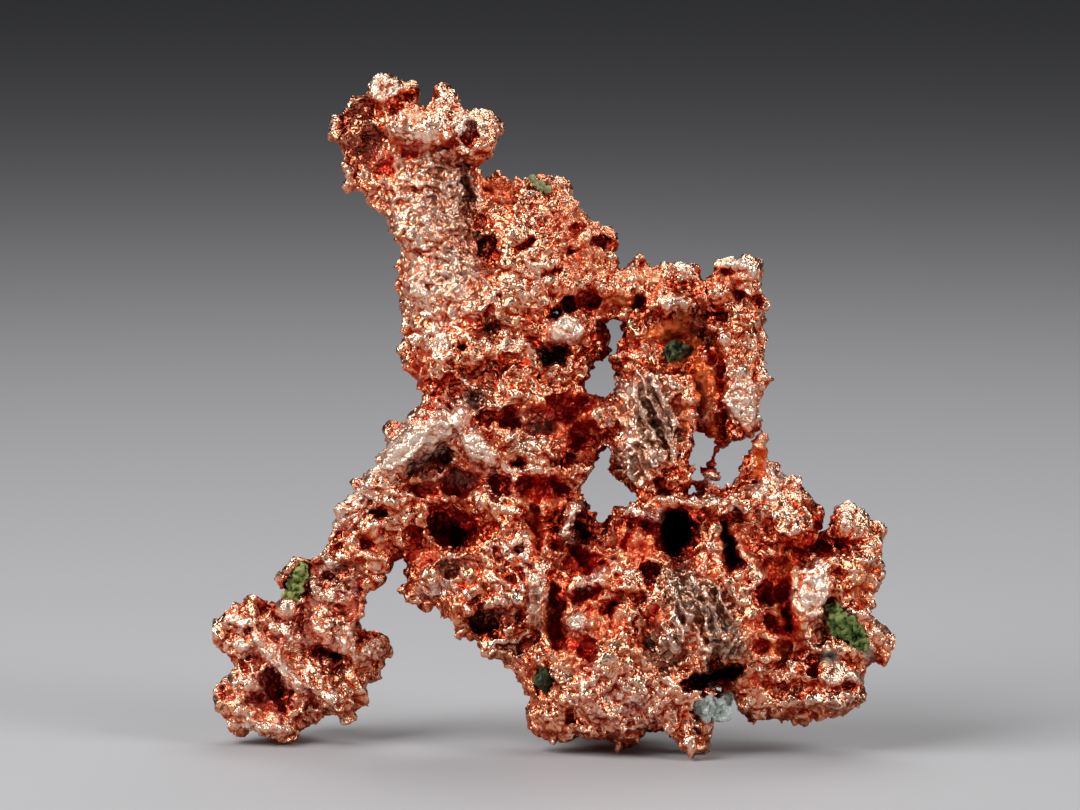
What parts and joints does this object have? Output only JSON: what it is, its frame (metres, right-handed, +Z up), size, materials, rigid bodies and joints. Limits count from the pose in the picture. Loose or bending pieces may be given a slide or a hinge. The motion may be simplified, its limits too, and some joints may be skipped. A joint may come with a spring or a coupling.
{
  "type": "native copper nugget",
  "caption": "Branching, hackly lump of native copper with a leg, an arm and a pierced middle, and small grains of green malachite and pale calcite seated in it.",
  "frame": {"origin": "centre of the bounding box in X and Y, on the ground under the lowest flats", "axes": "+Z up, -Y towards the viewer of the broad front face, X across the width from the foot's side to the knob's side"},
  "size_m": [0.0682, 0.021, 0.067],
  "materials": {
    "native_copper": "bright, wrinkled like foil",
    "malachite": "dull to silky",
    "calcite": "pearly, translucent"
  },
  "bodies": {
    "root": {"nugget": "native_copper", "malachite_right": "malachite", "malachite_leg": "malachite", "malachite_top": "malachite", "malachite_front": "malachite", "malachite_pocket": "malachite", "calcite_grain": "calcite"}
  },
  "joints": []
}
